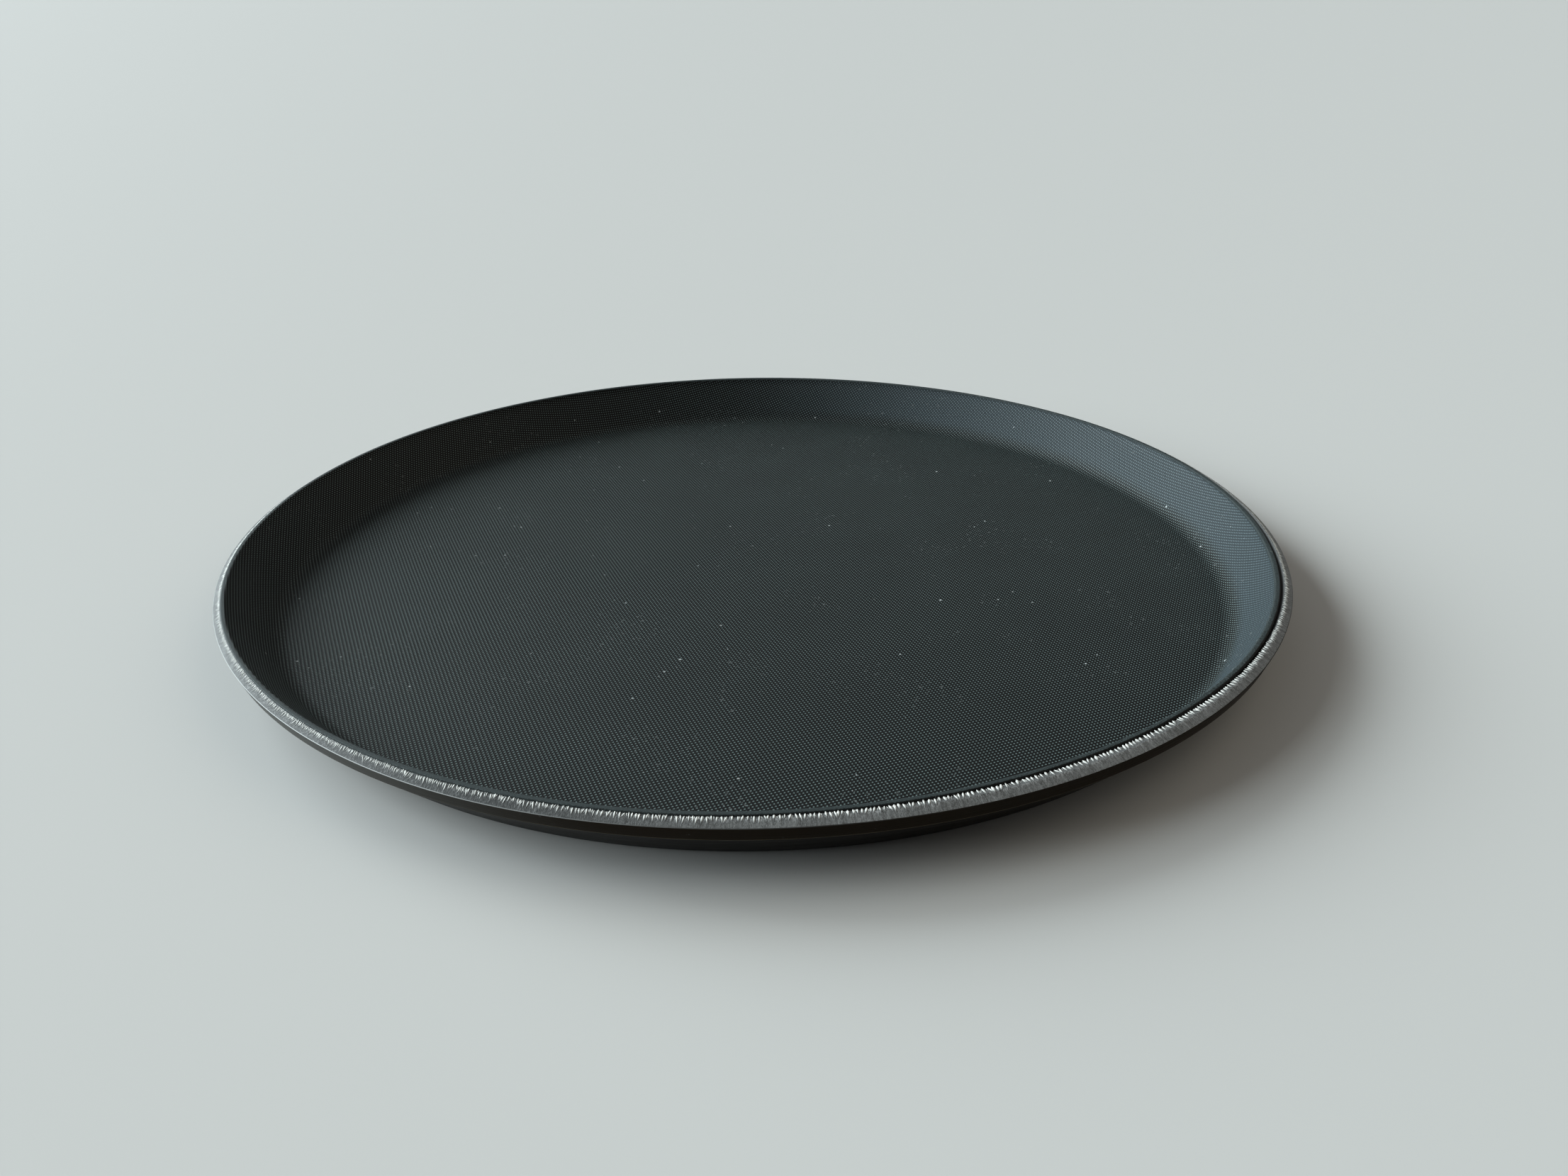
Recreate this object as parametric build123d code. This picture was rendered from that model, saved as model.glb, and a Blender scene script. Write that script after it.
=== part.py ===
from build123d import *
import math
import os

# Round non-slip serving tray, in millimetres.
# The tray is a shallow round dish pressed from three bonded layers:
#   body_shell    black glass-fibre laminate: floor, flared wall, trimmed rim and foot ring
#   glass_cloth   thin white glass cloth between laminate and rubber, cut flush at the rim
#   rubber_liner  black rubber over the whole inside, ending in a rolled lip
# The origin is the centre of the circle that the tray stands on. +Z is up, and the
# tray is a solid of revolution about Z. Sections are drawn in the XZ plane, where x
# is the radius and z the height above the table.

# Overall size
RIM_RADIUS = 203.0
RIM_EDGE_HEIGHT = 21.2

# Trimmed side face of the rim, and the bevel ground on top of it
SIDE_FACE_HEIGHT = 4.9
SIDE_FACE_INSET = 1.8
BEVEL_RISE_PER_RUN = 0.5

# Inside of the dish, measured on the rubber surface
FLOOR_HEIGHT = 3.8
FLOOR_CORNER_RADIUS = 184.1
INNER_WALL_ANGLE = 52.0
FLOOR_FILLET = 6.5

# Outside of the dish
OUTER_WALL_ANGLE = 45.5
FOOT_FILLET = 5.0
SIDE_FACE_FILLET = 0.5

# Foot ring under the knee, with a slightly recessed middle
FOOT_RING_INNER_RADIUS = 170.0
FOOT_RECESS = 0.6
FOOT_RECESS_FILLET = 2.0
FOOT_RECESS_SLOPE_RUN = 2.4

# Bonded layers
RUBBER_THICKNESS = 1.25
CLOTH_THICKNESS = 0.3

# Rolled lip of the rubber, standing a little proud of the bevel
LIP_HEIGHT = 23.0
LIP_INNER_FILLET = 1.0
LIP_OUTER_FILLET = 0.38
LIP_OUTER_LEAN = 0.08


def wall_radius(depth, height):
    """Radius of the flared wall, depth below the rubber surface, at a height."""
    corner = FLOOR_CORNER_RADIUS + depth * math.tan(math.radians(INNER_WALL_ANGLE / 2))
    rise = height - (FLOOR_HEIGHT - depth)
    return corner + rise / math.tan(math.radians(INNER_WALL_ANGLE))


def bevel_point(depth):
    """Where the layer line at this depth meets the ground bevel."""
    wall_slope = math.tan(math.radians(INNER_WALL_ANGLE))
    bevel_top = RIM_EDGE_HEIGHT + BEVEL_RISE_PER_RUN * RIM_RADIUS
    radius_at_zero = wall_radius(depth, 0.0)
    height = (bevel_top - BEVEL_RISE_PER_RUN * radius_at_zero) / (1 + BEVEL_RISE_PER_RUN / wall_slope)
    return (wall_radius(depth, height), height)


def layer_line(depth, end_point):
    """Line of a layer face from the axis, along the floor and up the wall."""
    floor = FLOOR_HEIGHT - depth
    corner = (wall_radius(depth, floor), floor)
    return FilletPolyline((0, floor), corner, end_point, radius=FLOOR_FILLET + depth)


def revolved(*edges):
    """Solid of revolution of the closed section made by these edges, drawn in X and Y."""
    section = make_face(Curve() + list(edges))
    return revolve(Plane.XZ * section, Axis.Z, 360)


def rubber_liner():
    """Rubber sheet over floor and wall, closed by the rolled lip."""
    top = (wall_radius(0, LIP_HEIGHT), LIP_HEIGHT)
    outer_end = bevel_point(RUBBER_THICKNESS)
    lip_corner = (outer_end[0] - LIP_OUTER_LEAN, LIP_HEIGHT)
    floor_corner = (wall_radius(0, FLOOR_HEIGHT), FLOOR_HEIGHT)
    surface = FilletPolyline(
        (0, FLOOR_HEIGHT),
        floor_corner,
        top,
        lip_corner,
        outer_end,
        radius=[FLOOR_FILLET, LIP_INNER_FILLET, LIP_OUTER_FILLET],
    )
    underside = layer_line(RUBBER_THICKNESS, outer_end)
    axis_edge = Line((0, FLOOR_HEIGHT), (0, FLOOR_HEIGHT - RUBBER_THICKNESS))
    return revolved(surface, underside, axis_edge)


def glass_cloth():
    """Cloth bonded between rubber and laminate, cut off in the bevel."""
    outer_depth = RUBBER_THICKNESS + CLOTH_THICKNESS
    inner_end = bevel_point(RUBBER_THICKNESS)
    outer_end = bevel_point(outer_depth)
    inner = layer_line(RUBBER_THICKNESS, inner_end)
    outer = layer_line(outer_depth, outer_end)
    cut_edge = Line(inner_end, outer_end)
    axis_edge = Line((0, FLOOR_HEIGHT - RUBBER_THICKNESS), (0, FLOOR_HEIGHT - outer_depth))
    return revolved(inner, cut_edge, outer, axis_edge)


def body_shell():
    """Laminate dish: bevel, side face, flared outer wall and foot ring."""
    depth = RUBBER_THICKNESS + CLOTH_THICKNESS
    inner_end = bevel_point(depth)
    inner = layer_line(depth, inner_end)
    rim_edge = (RIM_RADIUS, RIM_EDGE_HEIGHT)
    side_bottom = (RIM_RADIUS - SIDE_FACE_INSET, RIM_EDGE_HEIGHT - SIDE_FACE_HEIGHT)
    foot_radius = side_bottom[0] - side_bottom[1] / math.tan(math.radians(OUTER_WALL_ANGLE))
    outside = FilletPolyline(
        rim_edge,
        side_bottom,
        (foot_radius, 0),
        (FOOT_RING_INNER_RADIUS, 0),
        (FOOT_RING_INNER_RADIUS - FOOT_RECESS_SLOPE_RUN, FOOT_RECESS),
        (0, FOOT_RECESS),
        radius=[SIDE_FACE_FILLET, FOOT_FILLET, FOOT_RECESS_FILLET, FOOT_RECESS_FILLET],
    )
    bevel = Line(inner_end, rim_edge)
    axis_edge = Line((0, FOOT_RECESS), (0, FLOOR_HEIGHT - depth))
    return revolved(inner, bevel, outside, axis_edge)


PIECES = {
    "body_shell": body_shell,
    "glass_cloth": glass_cloth,
    "rubber_liner": rubber_liner,
}

os.makedirs("parts", exist_ok=True)
for name, make_piece in PIECES.items():
    piece = make_piece()
    piece.label = name
    export_step(piece, f"parts/{name}.step")
    print(name, "volume", round(piece.volume, 1), "mm3, box", piece.bounding_box())
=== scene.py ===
import math
import random

import bmesh
import bpy
import numpy as np
from mathutils import Matrix, Vector


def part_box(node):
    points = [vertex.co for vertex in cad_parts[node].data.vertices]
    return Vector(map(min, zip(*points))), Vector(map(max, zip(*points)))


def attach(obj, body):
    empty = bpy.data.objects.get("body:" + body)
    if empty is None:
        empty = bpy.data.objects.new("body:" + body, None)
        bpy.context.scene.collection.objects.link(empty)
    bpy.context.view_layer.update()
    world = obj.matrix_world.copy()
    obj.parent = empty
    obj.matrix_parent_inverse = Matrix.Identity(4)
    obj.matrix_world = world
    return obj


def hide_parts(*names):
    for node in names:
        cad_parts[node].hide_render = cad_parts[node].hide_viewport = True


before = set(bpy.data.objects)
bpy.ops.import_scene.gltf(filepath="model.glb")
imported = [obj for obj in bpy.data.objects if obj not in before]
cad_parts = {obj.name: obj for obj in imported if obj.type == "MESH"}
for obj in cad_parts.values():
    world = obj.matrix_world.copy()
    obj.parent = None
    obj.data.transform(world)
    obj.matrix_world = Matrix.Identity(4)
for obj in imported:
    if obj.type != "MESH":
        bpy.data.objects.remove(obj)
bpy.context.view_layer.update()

# ---------------------------------------------------------------------------
# Dimensions of the tray, in metres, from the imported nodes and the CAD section
# ---------------------------------------------------------------------------
MM = 0.001
RUBBER_LOW, RUBBER_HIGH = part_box("rubber_liner")

RIM_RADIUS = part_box("body_shell")[1][0]
LIP_TOP = RUBBER_HIGH[2]
RUBBER_UNDERSIDE = RUBBER_LOW[2]
CLOTH_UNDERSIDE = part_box("glass_cloth")[0][2]

FLOOR_HEIGHT = 3.8 * MM
FLOOR_CORNER_RADIUS = 184.1 * MM
FLOOR_FILLET = 6.5 * MM
INNER_WALL_ANGLE = math.radians(52.0)
RIM_EDGE_HEIGHT = 21.2 * MM
SIDE_FACE_HEIGHT = 4.9 * MM
SIDE_FACE_INSET = 1.8 * MM
BEVEL_RISE_PER_RUN = 0.5
OUTER_WALL_ANGLE = math.radians(45.5)
FOOT_FILLET = 5.0 * MM
FOOT_RING_INNER_RADIUS = 170.0 * MM
FOOT_RECESS = 0.6 * MM
FOOT_RECESS_FILLET = 2.0 * MM
FOOT_RECESS_SLOPE_RUN = 2.4 * MM
LIP_INNER_FILLET = 0.8 * MM
LIP_OUTER_FILLET = 0.30 * MM
LIP_OUTER_LEAN = 0.08 * MM
RIM_EDGE_FILLET = 0.22 * MM
SIDE_FOOT_FILLET = 0.5 * MM

# Innermost ring of the revolved meshes. Fans of triangles close the surfaces inside it.
HUB_RADIUS = 20.0 * MM

AROUND = 720
AZIMUTHS = [step * 360.0 / AROUND for step in range(AROUND)]

# Points of the revolved sections, which also say where each stored attribute starts
WALL_HEIGHTS = (11.0 * MM, 14.0 * MM, 17.0 * MM, 19.5 * MM)
FLOOR_STRETCH = 8
FLOOR_FILLET_STEPS = 10
LAYER_FILLET_STEPS = 6
LIP_INNER_STEPS = 8
LIP_OUTER_STEPS = 4
BEVEL_STRIPS = 5
RIM_EDGE_STEPS = 3
SIDE_FOOT_STEPS = 5
FIRST_LIP_POINT = 1 + FLOOR_STRETCH + FLOOR_FILLET_STEPS + 1 + len(WALL_HEIGHTS) + 1
FIRST_CUT_POINT = FIRST_LIP_POINT + LIP_INNER_STEPS + 1 + LIP_OUTER_STEPS

# Plain weave moulded into the rubber: pitch of the ribs, of the cross yarns, and the ribs' direction
RIB_PITCH = 0.864 * MM
CROSS_PITCH = 0.881 * MM
RIB_DIRECTION = math.radians(68.6)
WEAVE_DEPTH = 0.17 * MM

# ---------------------------------------------------------------------------
# Camera
# ---------------------------------------------------------------------------
CAMERA_LENS = 28.22
CAMERA_PITCH = math.radians(25.83)
CAMERA_ROLL = math.radians(0.40)
CAMERA_SIDE = 0.0539 * RIM_RADIUS
CAMERA_BACK = 2.26 * RIM_RADIUS
CAMERA_ABOVE_RIM = 0.9465 * RIM_RADIUS


def make_camera():
    data = bpy.data.cameras.new("camera")
    data.sensor_width = 36.0
    data.lens = CAMERA_LENS
    data.clip_start = 0.01
    data.clip_end = 1500.0
    camera = bpy.data.objects.new("camera", data)
    bpy.context.scene.collection.objects.link(camera)
    forward = Vector((0.0, math.cos(CAMERA_PITCH), -math.sin(CAMERA_PITCH)))
    level_right = Vector((1.0, 0.0, 0.0))
    level_down = forward.cross(level_right)
    cosine = math.cos(CAMERA_ROLL)
    sine = math.sin(CAMERA_ROLL)
    right = cosine * level_right + sine * level_down
    down = -sine * level_right + cosine * level_down
    rotation = Matrix((right, -down, -forward)).transposed()
    place = Vector((CAMERA_SIDE, -CAMERA_BACK, RIM_EDGE_HEIGHT + CAMERA_ABOVE_RIM))
    camera.matrix_world = Matrix.Translation(place) @ rotation.to_4x4()
    bpy.context.scene.camera = camera


make_camera()


# ---------------------------------------------------------------------------
# Section geometry
# ---------------------------------------------------------------------------
RUBBER_THICKNESS = FLOOR_HEIGHT - RUBBER_UNDERSIDE
CLOTH_THICKNESS = RUBBER_UNDERSIDE - CLOTH_UNDERSIDE
BOTH_LAYERS = RUBBER_THICKNESS + CLOTH_THICKNESS
EMBOSS_TOP = 21.7 * MM

# Unevenness of the rim, fitted to its lines in the photo. The CAD keeps a plain circular section.
LEAN_START = 11.0 * MM
WALL_LEAN = 2.6 * MM
LIP_LEAN = 2.68 * MM
RUBBER_EDGE_LEAN = 2.50 * MM
RUBBER_EDGE_SINK = 0.45 * MM
RUBBER_EDGE_DROP = 0.02 * MM
CLOTH_EDGE_LEAN = 0.5 * MM
CLOTH_EDGE_DROP = 0.04 * MM
SLOT_WIDTH = 1.6 * MM
SLOT_FLOOR_SHARE = 0.8
SLOT_DROP = 0.12 * MM
LIP_BEAD = 0.70 * MM
LEFT_LIP_THINNER = 0.40 * MM


def hump(angle, centre, width_before, width_after):
    """A smooth hump of height 1 round the rim, centred on one azimuth (degrees)."""
    away = (angle - centre + 180.0) % 360.0 - 180.0
    width = width_before if away < 0 else width_after
    return math.exp(-((away / width) ** 2))


def rim_lean(azimuth):
    """Share, 0 to 0.92, of how far the rubber's top edge stands inwards at one azimuth."""
    return 0.92 * hump(azimuth, 31.0, 32.0, 31.0)


def gap(azimuth):
    """Width of the open slot between the rubber's top edge and the cloth."""
    return SLOT_WIDTH * hump(azimuth, 80.0, 38.0, 27.0)


def drift(azimuth):
    """Slow unevenness of the rim."""
    a = math.radians(azimuth)
    return (0.05 * math.sin(3 * a + 0.7) + 0.04 * math.sin(8 * a + 2.1) + 0.03 * math.sin(19 * a)) * MM


def left_lip(azimuth):
    """Share, 0 to 1, of the thinner lip that the weave runs over, centred on the left."""
    return hump(azimuth, -72.0, 50.0, 42.0)


def lip_bead(azimuth):
    """How far the rubber's lip swells inwards of the wall's own line."""
    return LIP_BEAD - LEFT_LIP_THINNER * left_lip(azimuth)


def edge_dip(azimuth):
    """How much lower the ground rim edge runs at one azimuth."""
    return (0.48 * hump(azimuth, -23.0, 15.0, 13.0) + 0.04 + 0.04 * math.sin(math.radians(4 * azimuth))) * MM


def wall_radius(depth, height, azimuth=None):
    """Radius of the inner wall's face, or of the layer face lying depth below it, at a height."""
    corner = FLOOR_CORNER_RADIUS + depth * math.tan(INNER_WALL_ANGLE / 2)
    radius = corner + (height - (FLOOR_HEIGHT - depth)) / math.tan(INNER_WALL_ANGLE)
    if azimuth is None:
        return radius
    share = max(0.0, (height - LEAN_START) / (LIP_TOP - LEAN_START))
    own_gap = gap(azimuth) if depth == 0.0 else 0.0
    return radius - (WALL_LEAN * rim_lean(azimuth) + own_gap + drift(azimuth)) * share ** 1.5


def bevel_end(depth):
    """Where the ground bevel cuts the layer face lying depth below the inner wall."""
    at_rim_edge = wall_radius(depth, RIM_EDGE_HEIGHT)
    run = (RIM_RADIUS - at_rim_edge) * BEVEL_RISE_PER_RUN / (math.tan(INNER_WALL_ANGLE) + BEVEL_RISE_PER_RUN)
    return at_rim_edge + run, RIM_EDGE_HEIGHT + run * math.tan(INNER_WALL_ANGLE)


def cut_section(azimuth):
    """Corners of the cut rim at one azimuth: rim edge, cloth, rubber, and the lip and slot beside it."""
    lean = rim_lean(azimuth)
    wander = drift(azimuth)
    rubber_radius, rubber_height = bevel_end(RUBBER_THICKNESS)
    cloth_radius, cloth_height = bevel_end(BOTH_LAYERS)
    edge_radius = rubber_radius - RUBBER_EDGE_LEAN * lean - wander
    edge_height = rubber_height - RUBBER_EDGE_SINK * lean
    return {
        "edge": (RIM_RADIUS, RIM_EDGE_HEIGHT - edge_dip(azimuth)),
        "cloth": (cloth_radius - CLOTH_EDGE_LEAN * lean - wander, cloth_height - CLOTH_EDGE_DROP),
        "rubber": (edge_radius, edge_height - RUBBER_EDGE_DROP),
        "lip": (rubber_radius - LIP_OUTER_LEAN - LIP_LEAN * lean - gap(azimuth) - wander, LIP_TOP),
        "slot": (edge_radius - SLOT_FLOOR_SHARE * gap(azimuth), edge_height - SLOT_DROP),
    }


def wall_points(depth, azimuth, rising=True):
    """Points up a layer face of the wall, between its floor fillet and the rim."""
    points = [(wall_radius(depth, height, azimuth), height, 0.0, 0) for height in WALL_HEIGHTS]
    return points if rising else points[::-1]


def rounded(corners):
    """Points along a path of (r, z, fillet radius, steps) corners, each fillet turned into an arc."""
    points = []
    last = len(corners) - 1
    for index, (r, z, fillet, steps) in enumerate(corners):
        here = Vector((r, z))
        if fillet == 0.0 or index in (0, last):
            points.append(tuple(here))
            continue
        back = (Vector(corners[index - 1][:2]) - here).normalized()
        ahead = (Vector(corners[index + 1][:2]) - here).normalized()
        half = back.angle(ahead) / 2
        reach = fillet / math.tan(half)
        centre = here + (back + ahead).normalized() * fillet / math.sin(half)
        start = here + back * reach - centre
        stop = here + ahead * reach - centre
        sweep = start.angle(stop)
        for step in range(steps + 1):
            share = step / steps
            blend = start * math.sin((1 - share) * sweep) + stop * math.sin(share * sweep)
            points.append(tuple(centre + blend / math.sin(sweep)))
    return points


def stretch(start, stop, count):
    """Corners without fillets, evenly spaced between two (r, z) points, ends left out."""
    corners = []
    for step in range(count):
        share = (step + 1) / (count + 1)
        r = start[0] + (stop[0] - start[0]) * share
        z = start[1] + (stop[1] - start[1]) * share
        corners.append((r, z, 0.0, 0))
    return corners


def rubber_section(azimuth):
    cut = cut_section(azimuth)
    floor_tangent = FLOOR_CORNER_RADIUS - FLOOR_FILLET * math.tan(INNER_WALL_ANGLE / 2)
    under_corner = FLOOR_CORNER_RADIUS + RUBBER_THICKNESS * math.tan(INNER_WALL_ANGLE / 2)
    corners = [(HUB_RADIUS, FLOOR_HEIGHT, 0.0, 0)]
    corners += stretch((HUB_RADIUS, FLOOR_HEIGHT), (floor_tangent, FLOOR_HEIGHT), FLOOR_STRETCH)
    corners.append((FLOOR_CORNER_RADIUS, FLOOR_HEIGHT, FLOOR_FILLET, FLOOR_FILLET_STEPS))
    corners += wall_points(0.0, azimuth)
    corners += [
        (wall_radius(0.0, EMBOSS_TOP, azimuth), EMBOSS_TOP, 0.0, 0),
        (wall_radius(0.0, LIP_TOP, azimuth) - lip_bead(azimuth), LIP_TOP, LIP_INNER_FILLET, LIP_INNER_STEPS),
        cut["lip"] + (LIP_OUTER_FILLET, LIP_OUTER_STEPS),
        cut["slot"] + (0.0, 0),
    ]
    corners += wall_points(RUBBER_THICKNESS, azimuth, rising=False)
    corners += [
        (under_corner, RUBBER_UNDERSIDE, FLOOR_FILLET + RUBBER_THICKNESS, LAYER_FILLET_STEPS),
        (HUB_RADIUS, RUBBER_UNDERSIDE, 0.0, 0),
    ]
    return rounded(corners)


def cloth_section(azimuth):
    cut = cut_section(azimuth)
    upper_corner = FLOOR_CORNER_RADIUS + RUBBER_THICKNESS * math.tan(INNER_WALL_ANGLE / 2)
    lower_corner = FLOOR_CORNER_RADIUS + BOTH_LAYERS * math.tan(INNER_WALL_ANGLE / 2)
    corners = [
        (HUB_RADIUS, RUBBER_UNDERSIDE, 0.0, 0),
        (upper_corner, RUBBER_UNDERSIDE, FLOOR_FILLET + RUBBER_THICKNESS, LAYER_FILLET_STEPS),
    ]
    corners += wall_points(RUBBER_THICKNESS, azimuth)
    corners += [cut["rubber"] + (0.0, 0), cut["cloth"] + (0.0, 0)]
    corners += wall_points(BOTH_LAYERS, azimuth, rising=False)
    corners += [
        (lower_corner, CLOTH_UNDERSIDE, FLOOR_FILLET + BOTH_LAYERS, LAYER_FILLET_STEPS),
        (HUB_RADIUS, CLOTH_UNDERSIDE, 0.0, 0),
    ]
    return rounded(corners)


def body_section(azimuth):
    cut = cut_section(azimuth)
    lower_corner = FLOOR_CORNER_RADIUS + BOTH_LAYERS * math.tan(INNER_WALL_ANGLE / 2)
    side_radius = RIM_RADIUS - SIDE_FACE_INSET
    side_height = RIM_EDGE_HEIGHT - SIDE_FACE_HEIGHT
    foot_radius = side_radius - side_height / math.tan(OUTER_WALL_ANGLE)
    recess_radius = FOOT_RING_INNER_RADIUS - FOOT_RECESS_SLOPE_RUN
    middle = ((foot_radius + side_radius) / 2, side_height / 2)
    corners = [
        (HUB_RADIUS, CLOTH_UNDERSIDE, 0.0, 0),
        (lower_corner, CLOTH_UNDERSIDE, FLOOR_FILLET + BOTH_LAYERS, LAYER_FILLET_STEPS),
    ]
    corners += wall_points(BOTH_LAYERS, azimuth)
    corners.append(cut["cloth"] + (0.0, 0))
    corners += stretch(cut["cloth"], cut["edge"], BEVEL_STRIPS)
    corners += [
        (cut["edge"][0], cut["edge"][1], RIM_EDGE_FILLET, RIM_EDGE_STEPS),
        (side_radius, side_height, SIDE_FOOT_FILLET, SIDE_FOOT_STEPS),
        (middle[0], middle[1], 0.0, 0),
        (foot_radius, 0.0, FOOT_FILLET, 8),
        (FOOT_RING_INNER_RADIUS, 0.0, FOOT_RECESS_FILLET, 4),
        (recess_radius, FOOT_RECESS, FOOT_RECESS_FILLET, 4),
    ]
    corners += stretch((recess_radius, FOOT_RECESS), (HUB_RADIUS, FOOT_RECESS), 6)
    corners.append((HUB_RADIUS, FOOT_RECESS, 0.0, 0))
    return rounded(corners)


def round_the_rim(value):
    """What a function of azimuth gives at every azimuth of the revolved meshes."""
    return np.array([value(azimuth) for azimuth in AZIMUTHS])


def revolve(name, section):
    """A closed solid of revolution whose section may change with azimuth. Azimuth 0 faces the front."""
    rings = round_the_rim(section)
    turn = np.radians(AZIMUTHS)
    x = rings[:, :, 0] * np.sin(turn)[:, None]
    y = -rings[:, :, 0] * np.cos(turn)[:, None]
    verts = np.stack([x, y, rings[:, :, 1]], axis=2)
    count = rings.shape[1]
    index = np.arange(AROUND * count).reshape(AROUND, count)
    following = np.roll(index, -1, axis=0)
    quads = np.stack([index[:, :-1], following[:, :-1], following[:, 1:], index[:, 1:]], axis=2)
    first_pole = AROUND * count
    points = [tuple(p) for p in verts.reshape(-1, 3)]
    points.append((0.0, 0.0, float(rings[0, 0, 1])))
    points.append((0.0, 0.0, float(rings[0, -1, 1])))
    faces = [tuple(q) for q in quads.reshape(-1, 4).tolist()]
    for step in range(AROUND):
        after = (step + 1) % AROUND
        faces.append((first_pole, int(index[after, 0]), int(index[step, 0])))
        faces.append((first_pole + 1, int(index[step, -1]), int(index[after, -1])))
    mesh = bpy.data.meshes.new(name)
    mesh.from_pydata(points, [], faces)
    mesh.update()
    return mesh, rings


def sharpen(mesh, limit_degrees):
    """Smooth shading with sharp edges where two faces meet at more than the limit. Faces point outwards."""
    bm = bmesh.new()
    bm.from_mesh(mesh)
    bmesh.ops.recalc_face_normals(bm, faces=bm.faces)
    limit = math.radians(limit_degrees)
    for face in bm.faces:
        face.smooth = True
    for edge in bm.edges:
        edge.smooth = len(edge.link_faces) == 2 and edge.calc_face_angle() < limit
    bm.to_mesh(mesh)
    bm.free()


def add_piece(name, mesh, slot, *nodes):
    piece = bpy.data.objects.new(name, mesh)
    bpy.context.scene.collection.objects.link(piece)
    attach(piece, "root")
    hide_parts(*nodes)
    return piece


def store_vectors(mesh, name, values):
    layer = mesh.attributes.new(name, "FLOAT_VECTOR", "POINT")
    layer.data.foreach_set("vector", np.asarray(values, dtype=np.float32).ravel())


def store_numbers(mesh, name, values):
    layer = mesh.attributes.new(name, "FLOAT", "POINT")
    layer.data.foreach_set("value", np.asarray(values, dtype=np.float32).ravel())


# ---------------------------------------------------------------------------
# Materials
# ---------------------------------------------------------------------------
class Graph:
    """A node material, written as nested calls. A socket or a plain number may be given anywhere."""

    def __init__(self, name):
        self.material = bpy.data.materials.new(name)
        self.material.use_nodes = True
        self.tree = self.material.node_tree
        self.tree.nodes.clear()
        self.shader = self.tree.nodes.new("ShaderNodeBsdfPrincipled")
        output = self.tree.nodes.new("ShaderNodeOutputMaterial")
        self.tree.links.new(self.shader.outputs[0], output.inputs["Surface"])

    def put(self, value, socket):
        if isinstance(value, bpy.types.NodeSocket):
            self.tree.links.new(value, socket)
        elif value is not None:
            socket.default_value = value

    def math(self, operation, a, b=None, c=None):
        node = self.tree.nodes.new("ShaderNodeMath")
        node.operation = operation
        for value, socket in zip((a, b, c), node.inputs):
            self.put(value, socket)
        return node.outputs[0]

    def vector(self, x, y, z):
        node = self.tree.nodes.new("ShaderNodeCombineXYZ")
        for value, socket in zip((x, y, z), node.inputs):
            self.put(value, socket)
        return node.outputs[0]

    def parts(self, vector):
        node = self.tree.nodes.new("ShaderNodeSeparateXYZ")
        self.put(vector, node.inputs[0])
        return node.outputs[0], node.outputs[1], node.outputs[2]

    def attribute(self, name, output="Vector"):
        node = self.tree.nodes.new("ShaderNodeAttribute")
        node.attribute_name = name
        return node.outputs[output]

    def place(self):
        return self.tree.nodes.new("ShaderNodeTexCoord").outputs["Object"]

    def noise(self, vector, scale, detail=3.0, roughness=0.55):
        node = self.tree.nodes.new("ShaderNodeTexNoise")
        self.put(vector, node.inputs["Vector"])
        node.inputs["Scale"].default_value = scale
        node.inputs["Detail"].default_value = detail
        node.inputs["Roughness"].default_value = roughness
        return node.outputs[0]

    def cells(self, vector, scale):
        """Distance to the nearest of many scattered points."""
        node = self.tree.nodes.new("ShaderNodeTexVoronoi")
        self.put(vector, node.inputs["Vector"])
        node.inputs["Scale"].default_value = scale
        return node.outputs["Distance"]

    def scaled(self, value, low, high, to_low=0.0, to_high=1.0):
        """Smooth step from to_low to to_high as value goes from low to high."""
        node = self.tree.nodes.new("ShaderNodeMapRange")
        node.interpolation_type = "SMOOTHSTEP"
        for number, name in zip((value, low, high, to_low, to_high),
                                ("Value", "From Min", "From Max", "To Min", "To Max")):
            self.put(number, node.inputs[name])
        return node.outputs[0]

    def blend(self, share, a, b):
        node = self.tree.nodes.new("ShaderNodeMix")
        node.data_type = "RGBA"
        self.put(share, node.inputs[0])
        self.put(a, node.inputs[6])
        self.put(b, node.inputs[7])
        return node.outputs[2]

    def bump(self, height, distance, normal=None):
        node = self.tree.nodes.new("ShaderNodeBump")
        node.inputs["Distance"].default_value = distance
        self.put(height, node.inputs["Height"])
        self.put(normal, node.inputs["Normal"])
        return node.outputs[0]

    def finish(self, colour, roughness, normal, specular=0.5):
        self.put(colour, self.shader.inputs["Base Color"])
        self.put(roughness, self.shader.inputs["Roughness"])
        self.put(normal, self.shader.inputs["Normal"])
        self.shader.inputs["Specular IOR Level"].default_value = specular
        return self.material


def grey(value, red=1.0, green=1.0, blue=1.0):
    return (value * red, value * green, value * blue, 1.0)


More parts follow.
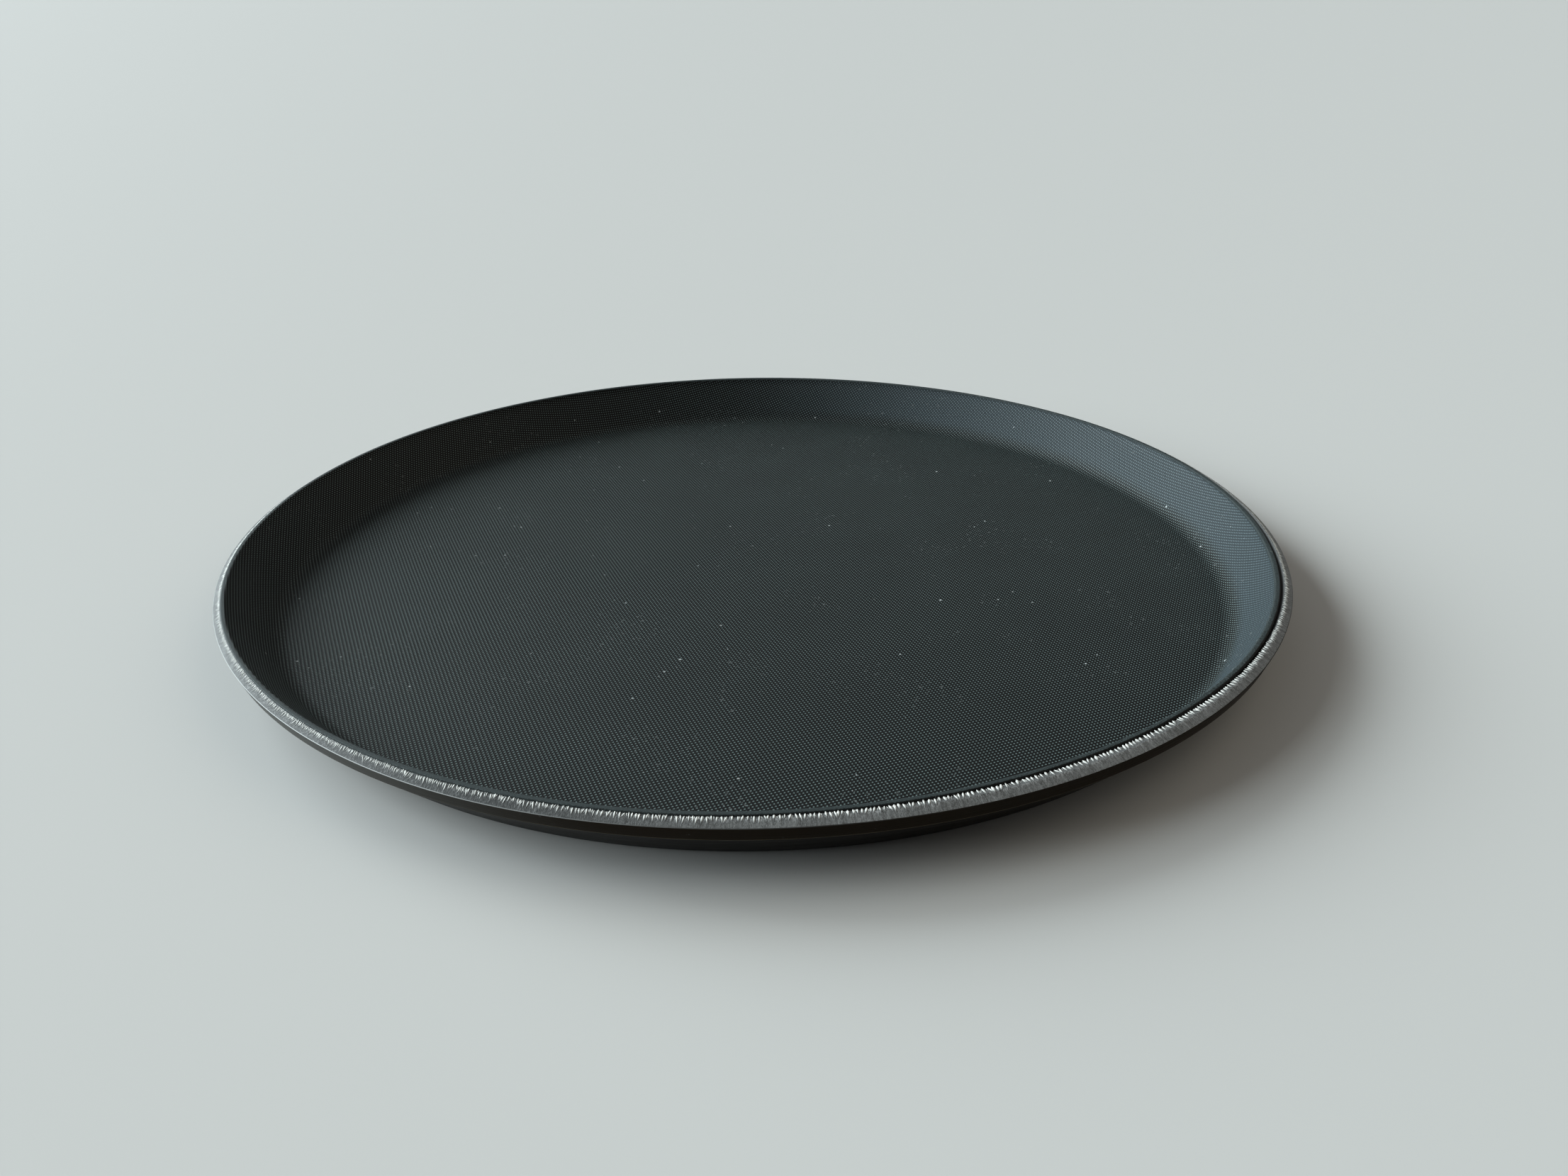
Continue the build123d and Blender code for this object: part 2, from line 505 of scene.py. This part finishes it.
def weave_height(g, across, along):
    """Height of a plain weave, about -0.1 to 0.9, from places across and along its ribs in pitches."""
    rib = g.math("FLOOR", across)
    cross = g.math("FLOOR", along)
    across_off = g.math("SUBTRACT", g.math("FRACT", across), 0.5)
    along_off = g.math("SUBTRACT", g.math("FRACT", along), 0.5)
    rib_phase = g.math("SUBTRACT", g.math("SUBTRACT", along, 0.5), rib)
    cross_phase = g.math("SUBTRACT", g.math("SUBTRACT", across, 0.5), cross)
    rib_wave = g.math("COSINE", g.math("MULTIPLY", rib_phase, math.pi))
    cross_wave = g.math("COSINE", g.math("MULTIPLY", cross_phase, math.pi))
    rib_round = g.math("MULTIPLY", yarn_round(g, across_off), 0.52)
    cross_round = g.math("MULTIPLY", yarn_round(g, along_off), 0.30)
    rib_height = g.math("MULTIPLY_ADD", rib_wave, 0.36, rib_round)
    cross_height = g.math("MULTIPLY_ADD", cross_wave, -0.14, cross_round)
    return g.math("SMOOTH_MAX", rib_height, cross_height, 0.10)


def yarn_round(g, off_centre):
    """Round cross-section of one yarn: 1 on its centre line, 0 half a pitch away."""
    squared = g.math("MULTIPLY", off_centre, off_centre)
    return g.math("MAXIMUM", g.math("MULTIPLY_ADD", squared, -4.0, 1.0), 0.0)


def rubber_material():
    g = Graph("embossed_rubber")
    cloth = g.attribute("cloth_place")
    u, v, emboss = g.parts(cloth)
    # slow wander of the yarns
    wander = g.noise(cloth, 38.0, 1.0)
    cosine = math.cos(RIB_DIRECTION)
    sine = math.sin(RIB_DIRECTION)
    along_u = g.math("MULTIPLY", u, cosine / CROSS_PITCH)
    along = g.math("ADD", along_u, g.math("MULTIPLY", v, sine / CROSS_PITCH))
    across_u = g.math("MULTIPLY", u, sine / RIB_PITCH)
    across = g.math("ADD", across_u, g.math("MULTIPLY", v, -cosine / RIB_PITCH))
    across = g.math("MULTIPLY_ADD", wander, 0.5, across)
    # the emboss dies out raggedly over the lip
    ragged = g.noise(cloth, 900.0, 2.0, 0.6)
    emboss = g.scaled(g.math("MULTIPLY_ADD", g.math("SUBTRACT", ragged, 0.5), 0.9, emboss), 0.12, 0.62)
    height = g.math("MULTIPLY", weave_height(g, across, along), emboss)
    grain = g.noise(cloth, 5200.0, 2.0)
    mottle = g.noise(cloth, 24.0, 5.0, 0.62)
    # dark valleys and pale crowns, fitted to the photo: mostly painted shade in the valleys and a painted
    # highlight on the crowns, partly dust on the crowns
    crown = g.scaled(height, 0.54, 0.90)
    valley_shade_colour = g.blend(mottle, grey(0.0012, 0.85, 1.0, 0.98), grey(0.0030, 0.85, 1.02, 1.0))
    crown_highlight_colour = g.blend(mottle, grey(0.150, 0.76, 1.0, 0.98), grey(0.225, 0.76, 1.02, 1.0))
    # bluish, softer wall on the right, fitted to the photo: a painted sheen of the light falling on that
    # side
    cx, _, _, z = radial_place(g)
    right_wall_sheen = g.math("MULTIPLY", g.scaled(z, 5.0 * MM, 10.0 * MM), g.scaled(cx, -0.15, 0.60))
    right_wall_sheen = g.math("MULTIPLY", right_wall_sheen, 0.8)
    valley_shade_colour = g.blend(right_wall_sheen, valley_shade_colour, grey(0.034, 0.72, 0.98, 1.12))
    crown_highlight_colour = g.blend(right_wall_sheen, crown_highlight_colour, grey(0.150, 0.72, 0.98, 1.12))
    weave_colour = g.blend(crown, valley_shade_colour, crown_highlight_colour)
    rough_skin = g.scaled(g.noise(cloth, 1600.0, 3.0, 0.65), 0.36, 0.66)
    smooth_colour = g.blend(rough_skin, grey(0.016, 0.78, 1.0, 1.02), grey(0.062, 0.78, 1.0, 1.02))
    colour = g.blend(emboss, smooth_colour, weave_colour)
    # slightly dark cut rubber, with painted shade on the lip's outer side and in the slot
    colour = g.blend(g.attribute("cut_and_slot_shade", "Fac"), colour, grey(0.010))
    # pale specks like dust, and faint clusters of them
    distance = g.cells(cloth, 150.0)
    size = g.noise(cloth, 41.0, 0.0)
    speck_radius = g.math("MAXIMUM", g.math("MULTIPLY_ADD", size, 0.30, -0.125), 0.0001)
    speck = g.scaled(distance, speck_radius, g.math("MULTIPLY", speck_radius, 0.3), 0.0, 0.9)
    cluster = g.scaled(g.noise(cloth, 26.0, 2.0), 0.50, 0.66)
    faint = g.math("MULTIPLY", g.scaled(g.noise(cloth, 560.0, 2.0), 0.62, 0.72), cluster)
    colour = g.blend(g.math("MULTIPLY", faint, 0.55), colour, grey(0.16, 0.95, 1.0, 1.0))
    colour = g.blend(speck, colour, grey(0.52, 0.95, 1.0, 1.0))
    roughness = g.math("ADD", g.scaled(height, 0.2, 0.9, 0.60, 0.38), g.math("MULTIPLY", mottle, 0.12))
    normal = g.bump(grain, 0.012 * MM)
    normal = g.bump(height, WEAVE_DEPTH, normal)
    return g.finish(colour, roughness, normal, 0.20)


def radial_place(g):
    """Sockets: direction round the rim as x and y on a unit circle, radius and height in metres."""
    x, y, z = g.parts(g.place())
    radius = g.math("SQRT", g.math("ADD", g.math("MULTIPLY", x, x), g.math("MULTIPLY", y, y)))
    return g.math("DIVIDE", x, radius), g.math("DIVIDE", y, radius), radius, z


def ground_material():
    g = Graph("ground_laminate")
    cx, cy, radius, _ = radial_place(g)
    fine = g.noise(g.vector(cx, cy, g.math("MULTIPLY", radius, 1.4)), 900.0, 3.0, 0.7)
    coarse = g.noise(g.vector(cx, cy, g.math("MULTIPLY", radius, 0.8)), 210.0, 3.0, 0.6)
    cloudy = g.noise(g.vector(cx, cy, radius), 14.0, 3.0, 0.6)
    share = g.attribute("bevel_share", "Fac")
    streak = g.math("ADD", g.math("MULTIPLY", fine, 0.6), g.math("MULTIPLY", coarse, 0.4))
    grey_level = g.scaled(streak, 0.36, 0.66)
    colour = g.blend(grey_level, grey(0.060, 1.0, 0.99, 0.96), grey(0.240, 0.99, 1.0, 1.0))
    colour = g.blend(g.scaled(cloudy, 0.35, 0.7, 0.0, 0.35), colour, grey(0.06, 1.04, 1.0, 0.94))
    # pale fibres near the cloth line, thinning out towards the rim edge
    fibre = g.scaled(g.math("MULTIPLY_ADD", share, -0.30, streak), 0.42, 0.56)
    colour = g.blend(g.math("MULTIPLY", fibre, 0.5), colour, grey(0.48, 0.99, 1.0, 1.0))
    # fine speckle all over, and painted shade darkening the bevel on the left between the fibres, fitted to
    # the photo
    speckle = g.noise(g.place(), 3400.0, 2.0, 0.7)
    colour = g.blend(g.scaled(speckle, 0.50, 0.68, 0.0, 0.40), colour, grey(0.34, 1.0, 1.0, 0.98))
    between_fibres = g.scaled(fine, 0.50, 0.62, 1.0, 0.35)
    left_bevel_shade = g.math("MULTIPLY", g.scaled(cx, 0.10, -0.45, 0.0, 0.96), between_fibres)
    colour = g.blend(left_bevel_shade, colour, grey(0.011, 0.92, 1.0, 1.0))
    roughness = g.scaled(streak, 0.3, 0.7, 0.62, 0.42)
    normal = g.bump(streak, 0.06 * MM)
    return g.finish(colour, roughness, normal, 0.30)


def moulded_material():
    g = Graph("moulded_laminate")
    place = g.place()
    cx, cy, radius, z = radial_place(g)
    mottle = g.noise(place, 60.0, 4.0, 0.6)
    on_side = g.scaled(radius, 184.0 * MM, 194.0 * MM)
    round_side = g.noise(g.vector(cx, cy, g.math("MULTIPLY", z, 260.0)), 9.0, 5.0, 0.65)
    under = g.noise(place, 35.0, 5.0, 0.65)
    rubbed = g.math("ADD", g.math("MULTIPLY", g.math("SUBTRACT", round_side, under), on_side), under)
    pits = g.noise(place, 2600.0, 2.0)
    scuff = g.scaled(g.noise(place, 520.0, 4.0, 0.7), 0.66, 0.76)
    # near-black laminate with a strong warm tint: its own dark brown, with a painted reflection of warm
    # light from below
    colour = g.blend(mottle, grey(0.0036, 1.75, 1.0, 0.35), grey(0.0070, 1.7, 1.0, 0.40))
    side_foot = RIM_EDGE_HEIGHT - SIDE_FACE_HEIGHT
    # near black below the side face all round, fitted to the photo, where that wall is in shade
    below_face = g.scaled(z, side_foot + 0.3 * MM, side_foot - 0.3 * MM, 0.0, 0.7)
    colour = g.blend(below_face, colour, grey(0.0012, 1.2, 1.0, 0.8))
    # the base, which the photo doesn't show, is plainer and paler than the outer wall
    base = g.blend(mottle, grey(0.011, 1.08, 1.0, 0.92), grey(0.024, 1.06, 1.0, 0.94))
    colour = g.blend(on_side, base, colour)
    # a painted highlight of warm light along the side face's lower fillet
    lower_fillet_glint = g.math("MULTIPLY", g.attribute("lower_fillet_highlight", "Fac"), g.scaled(rubbed, 0.3, 0.6, 0.35, 1.0))
    colour = g.blend(lower_fillet_glint, colour, grey(0.15, 1.25, 1.0, 0.6))
    # greyer side face on the left, a painted reflection of the light on that side, and a pale line along the
    # rim edge, which is a painted highlight; both fitted to the photo
    on_face = g.math("MULTIPLY", on_side, g.scaled(z, side_foot - 0.3 * MM, side_foot + 0.3 * MM))
    left_face_light = g.math("MULTIPLY", g.scaled(cx, -0.15, -0.75, 0.0, 0.85), on_face)
    colour = g.blend(left_face_light, colour, grey(0.085, 1.0, 1.0, 0.94))
    colour = g.blend(g.attribute("rim_edge_highlight", "Fac"), colour, grey(0.55, 0.98, 1.0, 1.0))
    colour = g.blend(g.math("MULTIPLY", scuff, 0.6), colour, grey(0.10))
    roughness = g.math("ADD", g.scaled(rubbed, 0.3, 0.7, 0.34, 0.50), g.math("MULTIPLY", scuff, 0.2))
    normal = g.bump(pits, 0.006 * MM)
    normal = g.bump(rubbed, 0.03 * MM, normal)
    return g.finish(colour, roughness, normal, 0.05)


def yarn_material():
    g = Graph("glass_yarn")
    fade = g.attribute("fade", "Fac")
    cx, cy, radius, _ = radial_place(g)
    strand = g.noise(g.vector(cx, cy, g.math("MULTIPLY", radius, 1.2)), 1500.0, 3.0, 0.7)
    white = g.blend(strand, grey(0.84, 1.0, 1.0, 0.97), grey(0.98, 1.0, 1.0, 0.95))
    dull = g.blend(strand, grey(0.05, 1.0, 0.99, 0.96), grey(0.17, 0.99, 1.0, 1.0))
    # painted shade on the outer ends on the left, like the bevel there
    dull = g.blend(g.scaled(cx, 0.10, -0.45, 0.0, 0.92), dull, grey(0.016, 0.92, 1.0, 1.0))
    colour = g.blend(g.scaled(fade, 0.30, 0.85), white, dull)
    roughness = g.scaled(strand, 0.3, 0.7, 0.45, 0.65)
    normal = g.bump(strand, 0.03 * MM)
    return g.finish(colour, roughness, normal, 0.5)


# ---------------------------------------------------------------------------
# Pieces
# ---------------------------------------------------------------------------
# How deep the emboss still is at successive points over the lip, and what the left side adds
LIP_EMBOSS = (0.50, 0.36, 0.22, 0.10)
LEFT_LIP_EMBOSS = (0.5, 0.64, 0.78, 0.88, 0.95, 0.90, 0.80, 0.65, 0.45)


def cloth_places(rings):
    """Each point's place in the flat weave pattern: its distance along the section, round the centre."""
    turn = np.radians(AZIMUTHS)[:, None]
    steps = np.diff(rings, axis=1)
    lengths = np.cumsum(np.hypot(steps[:, :, 0], steps[:, :, 1]), axis=1)
    reach = rings[:, :1, 0] + np.concatenate([np.zeros((AROUND, 1)), lengths], axis=1)
    return reach * np.sin(turn), -reach * np.cos(turn)


def make_rubber():
    mesh, rings = revolve("rubber_sheet", rubber_section)
    u, v = cloth_places(rings)
    lip = FIRST_LIP_POINT
    emboss = np.ones(rings.shape[:2])
    emboss[:, lip:] = 0.0
    emboss[:, lip:lip + len(LIP_EMBOSS)] = LIP_EMBOSS
    emboss[:, lip:lip + len(LEFT_LIP_EMBOSS)] += np.outer(round_the_rim(left_lip), LEFT_LIP_EMBOSS)
    values = np.stack([u, v, emboss], axis=2).reshape(-1, 3)
    values = np.concatenate([values, [[0.0, 0.0, 1.0], [0.0, 0.0, 0.0]]])
    store_vectors(mesh, "cloth_place", values)
    # the cut rubber is a little darker all round; painted shade darkens the lip's outer side where it leans
    # in, and where it stands clear of the cloth over the open slot
    cut = FIRST_CUT_POINT
    lean = round_the_rim(rim_lean)
    open_slot = round_the_rim(gap) / MM
    cut_shade = np.zeros(rings.shape[:2])
    cut_shade[:, cut - 2] = 0.3 * lean
    cut_shade[:, cut - 1] = np.maximum(0.9 * lean, np.minimum(1.0, open_slot))
    cut_shade[:, cut:] = np.minimum(1.0, 0.15 + 1.6 * lean + open_slot)[:, None]
    store_numbers(mesh, "cut_and_slot_shade", np.concatenate([cut_shade.ravel(), [0.0, 1.0]]))
    sharpen(mesh, 40.0)
    mesh.materials.append(rubber_material())
    add_piece("rubber_sheet", mesh, "rubber", "rubber_liner")


# The ply between the yarn ends is as dull as their outer ends
PLY_FADE = 0.85


def make_cloth():
    mesh, _ = revolve("cloth_ply", cloth_section)
    store_numbers(mesh, "fade", np.full(len(mesh.vertices), PLY_FADE))
    sharpen(mesh, 40.0)
    mesh.materials.append(yarn_material())
    add_piece("cloth_ply", mesh, "glass_cloth", "glass_cloth")


def rim_highlight(azimuth):
    """Strength of the painted highlight along the rim edge, centred on the front left."""
    return hump(azimuth, -42.0, 40.0, 30.0)


def make_body():
    mesh, rings = revolve("laminate_body", body_section)
    sharpen(mesh, 30.0)
    mesh.materials.append(moulded_material())
    mesh.materials.append(ground_material())
    # the inner floor, its fillet and the wall points come before the bevel's first strip
    first = 1 + LAYER_FILLET_STEPS + 1 + len(WALL_HEIGHTS)
    last = first + BEVEL_STRIPS + 1
    strips = np.tile(np.arange(rings.shape[1] - 1), AROUND)
    strips = np.concatenate([strips, np.full(2 * AROUND, -1)])
    ground = (strips >= first) & (strips < last)
    mesh.polygons.foreach_set("material_index", ground.astype(np.int32))
    share = np.zeros(rings.shape[:2])
    share[:, first:last] = np.linspace(0.0, 1.0, last - first)
    share[:, last:] = 1.0
    store_numbers(mesh, "bevel_share", np.concatenate([share.ravel(), [0.0, 1.0]]))
    # a painted highlight along the lower edge of the side face, whose fillet follows the rim edge's
    side_foot = last + RIM_EDGE_STEPS + 1
    lower_fillet_band = np.zeros(rings.shape[:2])
    lower_fillet_band[:, side_foot:side_foot + SIDE_FOOT_STEPS + 1] = (0.0, 0.5, 1.0, 1.0, 0.5, 0.0)
    store_numbers(mesh, "lower_fillet_highlight", np.concatenate([lower_fillet_band.ravel(), [0.0, 0.0]]))
    rim_highlight_share = np.zeros(rings.shape[:2])
    rim_highlight_share[:, last:last + RIM_EDGE_STEPS] = round_the_rim(rim_highlight)[:, None]
    store_numbers(mesh, "rim_edge_highlight", np.concatenate([rim_highlight_share.ravel(), [0.0, 0.0]]))
    mesh.update()
    add_piece("laminate_body", mesh, "laminate", "body_shell")


def on_bevel(cut, distance):
    """Place and outward direction of the ground bevel, a distance outwards from the rubber's edge."""
    corners = [Vector(cut["rubber"]), Vector(cut["cloth"]), Vector(cut["edge"])]
    first = (corners[1] - corners[0]).length
    inner = (corners[1] - corners[0]).normalized()
    outer = (corners[2] - corners[1]).normalized()
    turned = min(1.0, max(0.0, (distance - first) / (0.4 * MM) + 0.5))
    along = inner.lerp(outer, turned).normalized()
    if distance < first:
        place = corners[0] + inner * distance
    else:
        place = corners[1] + outer * (distance - first)
    return place, Vector((-along[1], along[0]))


def yarn_stub(points, faces, fades, azimuth, length, width, rise, skew, start, sides=6, rings=7):
    """One yarn end lying on the bevel: raised and white at its inner tip, sinking outwards."""
    cut = cut_section(azimuth)
    turn = math.radians(azimuth)
    radial = Vector((math.sin(turn), -math.cos(turn), 0.0))
    around = Vector((math.cos(turn), math.sin(turn), 0.0))
    up = Vector((0.0, 0.0, 1.0))
    base = len(points)
    for ring in range(rings):
        share = ring / (rings - 1)
        place, off_bevel = on_bevel(cut, start + length * share)
        lift = rise * (1.0 - share) ** 1.5
        half = width * (0.35 + 0.65 * min(1.0, 5.0 * share)) * (1.0 - 0.55 * share)
        sideways = math.tan(skew) * length * share
        for side in range(sides):
            angle = 2 * math.pi * side / sides
            off = half * math.cos(angle)
            out = lift + half * 0.45 * math.sin(angle) - 0.16 * width * share
            flat = place + off_bevel * out
            point = radial * flat[0] + up * flat[1] + around * (off + sideways)
            points.append(tuple(point))
            fades.append(share)
    for ring in range(rings - 1):
        for side in range(sides):
            after = (side + 1) % sides
            a = base + ring * sides
            faces.append((a + side, a + after, a + sides + after, a + sides + side))
    faces.append(tuple(base + side for side in reversed(range(sides))))
    faces.append(tuple(base + (rings - 1) * sides + side for side in range(sides)))


# Ranges for the yarn ends and the fine strands beside them: millimetres, and degrees for the spacing
YARN_SEED = 11
YARN_LENGTH = (1.5, 2.6)
YARN_HALF_WIDTH = (0.09, 0.20)
YARN_WIDER_BY_LEAN = (0.16, 0.44)
YARN_RISE = (0.08, 0.24)
YARN_START = (-0.20, 0.35)
YARN_SPACING = (0.20, 0.38)
STRAND_LENGTH = (0.8, 1.9)
STRAND_HALF_WIDTH = (0.05, 0.11)
STRAND_RISE = (0.06, 0.26)
STRAND_START = (-0.05, 0.35)
STRAND_OFFSET = 0.22


def make_yarn_ends():
    draw = random.Random(YARN_SEED)
    points = []
    faces = []
    fades = []
    azimuth = 0.0
    while azimuth < 359.7:
        lean = rim_lean(azimuth)
        length = (draw.uniform(*YARN_LENGTH) + 0.3 * lean) * MM
        width = (draw.uniform(*YARN_HALF_WIDTH) + draw.uniform(*YARN_WIDER_BY_LEAN) * lean) * MM
        rise = (draw.uniform(*YARN_RISE) + 0.22 * lean) * MM
        skew = math.radians(draw.gauss(0.0, 11.0))
        start = draw.uniform(YARN_START[0], YARN_START[1] - 0.2 * lean) * MM
        yarn_stub(points, faces, fades, azimuth, length, width, rise, skew, start)
        for strand in range(2):
            beside = azimuth + draw.uniform(-STRAND_OFFSET, STRAND_OFFSET)
            length = draw.uniform(*STRAND_LENGTH) * MM
            width = draw.uniform(*STRAND_HALF_WIDTH) * MM
            rise = draw.uniform(*STRAND_RISE) * MM
            skew = math.radians(draw.gauss(0.0, 14.0))
            start = draw.uniform(*STRAND_START) * MM
            yarn_stub(points, faces, fades, beside, length, width, rise, skew, start, 4, 4)
        azimuth += draw.uniform(*YARN_SPACING) + 0.17 * lean
    mesh = bpy.data.meshes.new("yarn_ends")
    mesh.from_pydata(points, [], faces)
    mesh.update()
    store_numbers(mesh, "fade", fades)
    sharpen(mesh, 60.0)
    mesh.materials.append(yarn_material())
    add_piece("yarn_ends", mesh, "glass_cloth", "glass_cloth")


make_rubber()
make_cloth()
make_body()
make_yarn_ends()


# ---------------------------------------------------------------------------
# Floor and light
# ---------------------------------------------------------------------------
def make_floor():
    mesh = bpy.data.meshes.new("studio_floor")
    half = 400.0
    corners = [(-half, -half, 0), (half, -half, 0), (half, half, 0), (-half, half, 0)]
    mesh.from_pydata(corners, [], [(0, 1, 2, 3)])
    g = Graph("studio_floor")
    mesh.materials.append(g.finish(grey(0.56, 1.0, 0.985, 0.96), 0.9, None, 0.2))
    floor = bpy.data.objects.new("studio_floor", mesh)
    bpy.context.scene.collection.objects.link(floor)


def make_light():
    world = bpy.data.worlds.new("studio")
    world.use_nodes = True
    tree = world.node_tree
    sky = tree.nodes["Background"]
    place = tree.nodes.new("ShaderNodeTexCoord")
    towards = tree.nodes.new("ShaderNodeVectorMath")
    towards.operation = "DOT_PRODUCT"
    towards.inputs[1].default_value = Vector((-0.55, 0.80, 0.24)).normalized()
    spread = tree.nodes.new("ShaderNodeMapRange")
    spread.interpolation_type = "SMOOTHSTEP"
    spread.inputs["From Min"].default_value = -0.1
    spread.inputs["From Max"].default_value = 1.0
    spread.inputs["To Min"].default_value = 0.08
    spread.inputs["To Max"].default_value = 0.30
    tree.links.new(place.outputs["Generated"], towards.inputs[0])
    tree.links.new(towards.outputs["Value"], spread.inputs["Value"])
    tree.links.new(spread.outputs["Result"], sky.inputs["Strength"])
    sky.inputs["Color"].default_value = (0.93, 0.97, 1.0, 1.0)
    bpy.context.scene.world = world
    soft_sun("window_near", (-0.90, -0.05, 0.42), 44.0, 3.4, (0.86, 0.97, 1.0))
    soft_sun("window_far", (-0.76, 0.50, 0.38), 40.0, 3.4, (0.85, 0.97, 1.0))
    soft_sun("room", (0.70, 0.10, 0.70), 60.0, 0.55, (1.0, 0.93, 0.78))
    bpy.context.scene.view_settings.view_transform = "Standard"
    bpy.context.scene.view_settings.look = "None"


def soft_sun(name, towards, spread_degrees, strength, colour):
    data = bpy.data.lights.new(name, "SUN")
    data.angle = math.radians(spread_degrees)
    data.energy = strength
    data.color = colour
    light = bpy.data.objects.new(name, data)
    light.rotation_euler = Vector(towards).to_track_quat("Z", "Y").to_euler()
    bpy.context.scene.collection.objects.link(light)


make_floor()
make_light()
